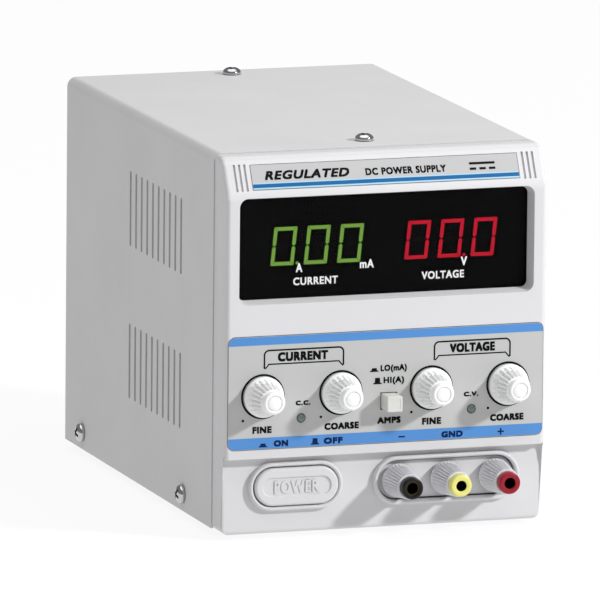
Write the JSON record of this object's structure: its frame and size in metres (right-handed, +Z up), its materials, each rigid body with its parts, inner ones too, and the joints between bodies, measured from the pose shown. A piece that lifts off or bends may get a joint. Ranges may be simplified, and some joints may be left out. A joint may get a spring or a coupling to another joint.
{
  "type": "bench power supply",
  "caption": "Single-output linear DC bench power supply with LED meters, coarse and fine knobs, three binding posts and a rear fan.",
  "frame": {"origin": "on the surface that the feet stand on, under the middle of the overall box", "axes": "+X to the operator's right, +Y from the front panel to the rear, +Z up"},
  "size_m": [0.1316, 0.2204, 0.1468],
  "materials": {
    "cover_paint": "semi-gloss light grey paint with a fine texture",
    "chassis_steel": "bare zinc-plated sheet",
    "bezel_plastic": "moulded, satin",
    "control_film": "printed film, satin",
    "header_film": "printed film, satin",
    "smoked_window": "polished smoked acrylic",
    "green_meter": "diffused LED module",
    "red_meter": "diffused LED module",
    "circuit_board": "solder mask",
    "indicator_lens": "unlit diffused lens",
    "knob_plastic": "moulded, satin",
    "shaft_aluminium": "turned",
    "pot_steel": "pressed can",
    "button_plastic": "moulded",
    "black_plastic": "moulded",
    "nut_black": "knurled, with a black tip",
    "nut_yellow": "knurled, with a yellow tip",
    "nut_red": "knurled, with a red tip",
    "nickel_brass": "nickel plated",
    "fuse_glass": "clear tube with plated caps",
    "core_iron": "varnished laminations",
    "winding_tape": "copper winding under yellow tape",
    "sink_aluminium": "extruded",
    "foot_rubber": "moulded",
    "screw_steel": "plated steel, cross recess"
  },
  "bodies": {
    "root": {"top_cover": "cover_paint", "rear_panel": "cover_paint", "bottom_chassis": "chassis_steel", "front_bezel": "bezel_plastic", "terminal_plate": "bezel_plastic", "control_overlay": "control_film", "header_label": "header_film", "display_window": "smoked_window", "current_display": "green_meter", "voltage_display": "red_meter", "display_board": "circuit_board", "main_board": "circuit_board", "constant_current_led": "indicator_lens", "constant_voltage_led": "indicator_lens", "current_fine_pot": "pot_steel", "current_coarse_pot": "pot_steel", "voltage_fine_pot": "pot_steel", "voltage_coarse_pot": "pot_steel", "range_switch": "black_plastic", "power_switch": "black_plastic", "fan_frame": "black_plastic", "mains_inlet": "black_plastic", "fuse_holder": "black_plastic", "voltage_selector": "black_plastic", "negative_stud": "nickel_brass", "ground_stud": "nickel_brass", "positive_stud": "nickel_brass", "transformer_core": "core_iron", "transformer_coil": "winding_tape", "heat_sink": "sink_aluminium", "front_left_foot": "foot_rubber", "front_right_foot": "foot_rubber", "rear_left_foot": "foot_rubber", "rear_right_foot": "foot_rubber", "top_screw_front": "screw_steel", "top_screw_rear": "screw_steel", "left_screw_front": "screw_steel", "left_screw_rear": "screw_steel", "right_screw_front": "screw_steel", "right_screw_rear": "screw_steel"},
    "current_fine_control": {"current_fine_knob": "knob_plastic", "current_fine_shaft": "shaft_aluminium"},
    "current_coarse_control": {"current_coarse_knob": "knob_plastic", "current_coarse_shaft": "shaft_aluminium"},
    "voltage_fine_control": {"voltage_fine_knob": "knob_plastic", "voltage_fine_shaft": "shaft_aluminium"},
    "voltage_coarse_control": {"voltage_coarse_knob": "knob_plastic", "voltage_coarse_shaft": "shaft_aluminium"},
    "range_push": {"range_button": "button_plastic"},
    "power_push": {"power_button": "bezel_plastic"},
    "negative_clamp": {"negative_washer": "nickel_brass"},
    "negative_thumb": {"negative_nut": "nut_black"},
    "ground_clamp": {"ground_washer": "nickel_brass"},
    "ground_thumb": {"ground_nut": "nut_yellow"},
    "positive_clamp": {"positive_washer": "nickel_brass"},
    "positive_thumb": {"positive_nut": "nut_red"},
    "fan_blades": {"fan_rotor": "black_plastic"},
    "selector": {"selector_slider": "nut_red"},
    "fuse_link": {"fuse": "fuse_glass"},
    "fuse_top": {"fuse_cap": "black_plastic"}
  },
  "joints": [
    {"name": "current_fine_turn", "type": "hinge", "parent": "root", "child": "current_fine_control", "pos_m": [-0.0481, -0.0956, 0.0547], "axis": [0, 1, 0], "range_deg": [0, 300]},
    {"name": "current_coarse_turn", "type": "hinge", "parent": "root", "child": "current_coarse_control", "pos_m": [-0.0177, -0.0956, 0.0547], "axis": [0, 1, 0], "range_deg": [0, 300]},
    {"name": "voltage_fine_turn", "type": "hinge", "parent": "root", "child": "voltage_fine_control", "pos_m": [0.0177, -0.0956, 0.0547], "axis": [0, 1, 0], "range_deg": [0, 300]},
    {"name": "voltage_coarse_turn", "type": "hinge", "parent": "root", "child": "voltage_coarse_control", "pos_m": [0.0478, -0.0956, 0.0547], "axis": [0, 1, 0], "range_deg": [0, 300]},
    {"name": "range_press", "type": "slide", "parent": "root", "child": "range_push", "axis": [0, 1, 0], "range_m": [0, 0.0025], "stiffness_N_per_m": 400, "springref_m": -0.002},
    {"name": "power_press", "type": "slide", "parent": "root", "child": "power_push", "axis": [0, 1, 0], "range_m": [0, 0.003], "stiffness_N_per_m": 500, "springref_m": -0.003},
    {"name": "negative_lift", "type": "slide", "parent": "root", "child": "negative_clamp", "axis": [0, -1, 0], "range_m": [0, 0.003]},
    {"name": "negative_unscrew", "type": "hinge", "parent": "negative_clamp", "child": "negative_thumb", "pos_m": [0.00605, -0.0931, 0.0198], "axis": [0, -1, 0], "range_deg": [0, 1080]},
    {"name": "ground_lift", "type": "slide", "parent": "root", "child": "ground_clamp", "axis": [0, -1, 0], "range_m": [0, 0.003]},
    {"name": "ground_unscrew", "type": "hinge", "parent": "ground_clamp", "child": "ground_thumb", "pos_m": [0.0251, -0.0931, 0.0198], "axis": [0, -1, 0], "range_deg": [0, 1080]},
    {"name": "positive_lift", "type": "slide", "parent": "root", "child": "positive_clamp", "axis": [0, -1, 0], "range_m": [0, 0.003]},
    {"name": "positive_unscrew", "type": "hinge", "parent": "positive_clamp", "child": "positive_thumb", "pos_m": [0.04415, -0.0931, 0.0198], "axis": [0, -1, 0], "range_deg": [0, 1080]},
    {"name": "fan_spin", "type": "hinge", "parent": "root", "child": "fan_blades", "pos_m": [0, 0.0889, 0.09], "axis": [0, 1, 0], "continuous": true},
    {"name": "selector_slide", "type": "slide", "parent": "root", "child": "selector", "axis": [1, 0, 0], "range_m": [0, 0.005]},
    {"name": "fuse_draw", "type": "slide", "parent": "root", "child": "fuse_link", "axis": [0, 1, 0], "range_m": [0, 0.03]},
    {"name": "fuse_cap_turn", "type": "hinge", "parent": "fuse_link", "child": "fuse_top", "pos_m": [0.014, 0.1029, 0.025], "axis": [0, 1, 0], "range_deg": [0, 90]}
  ],
  "couplings": [
    {"joint": "negative_unscrew", "follows": "negative_lift", "rad_per_m": 6283.2},
    {"joint": "ground_unscrew", "follows": "ground_lift", "rad_per_m": 6283.2},
    {"joint": "positive_unscrew", "follows": "positive_lift", "rad_per_m": 6283.2}
  ]
}
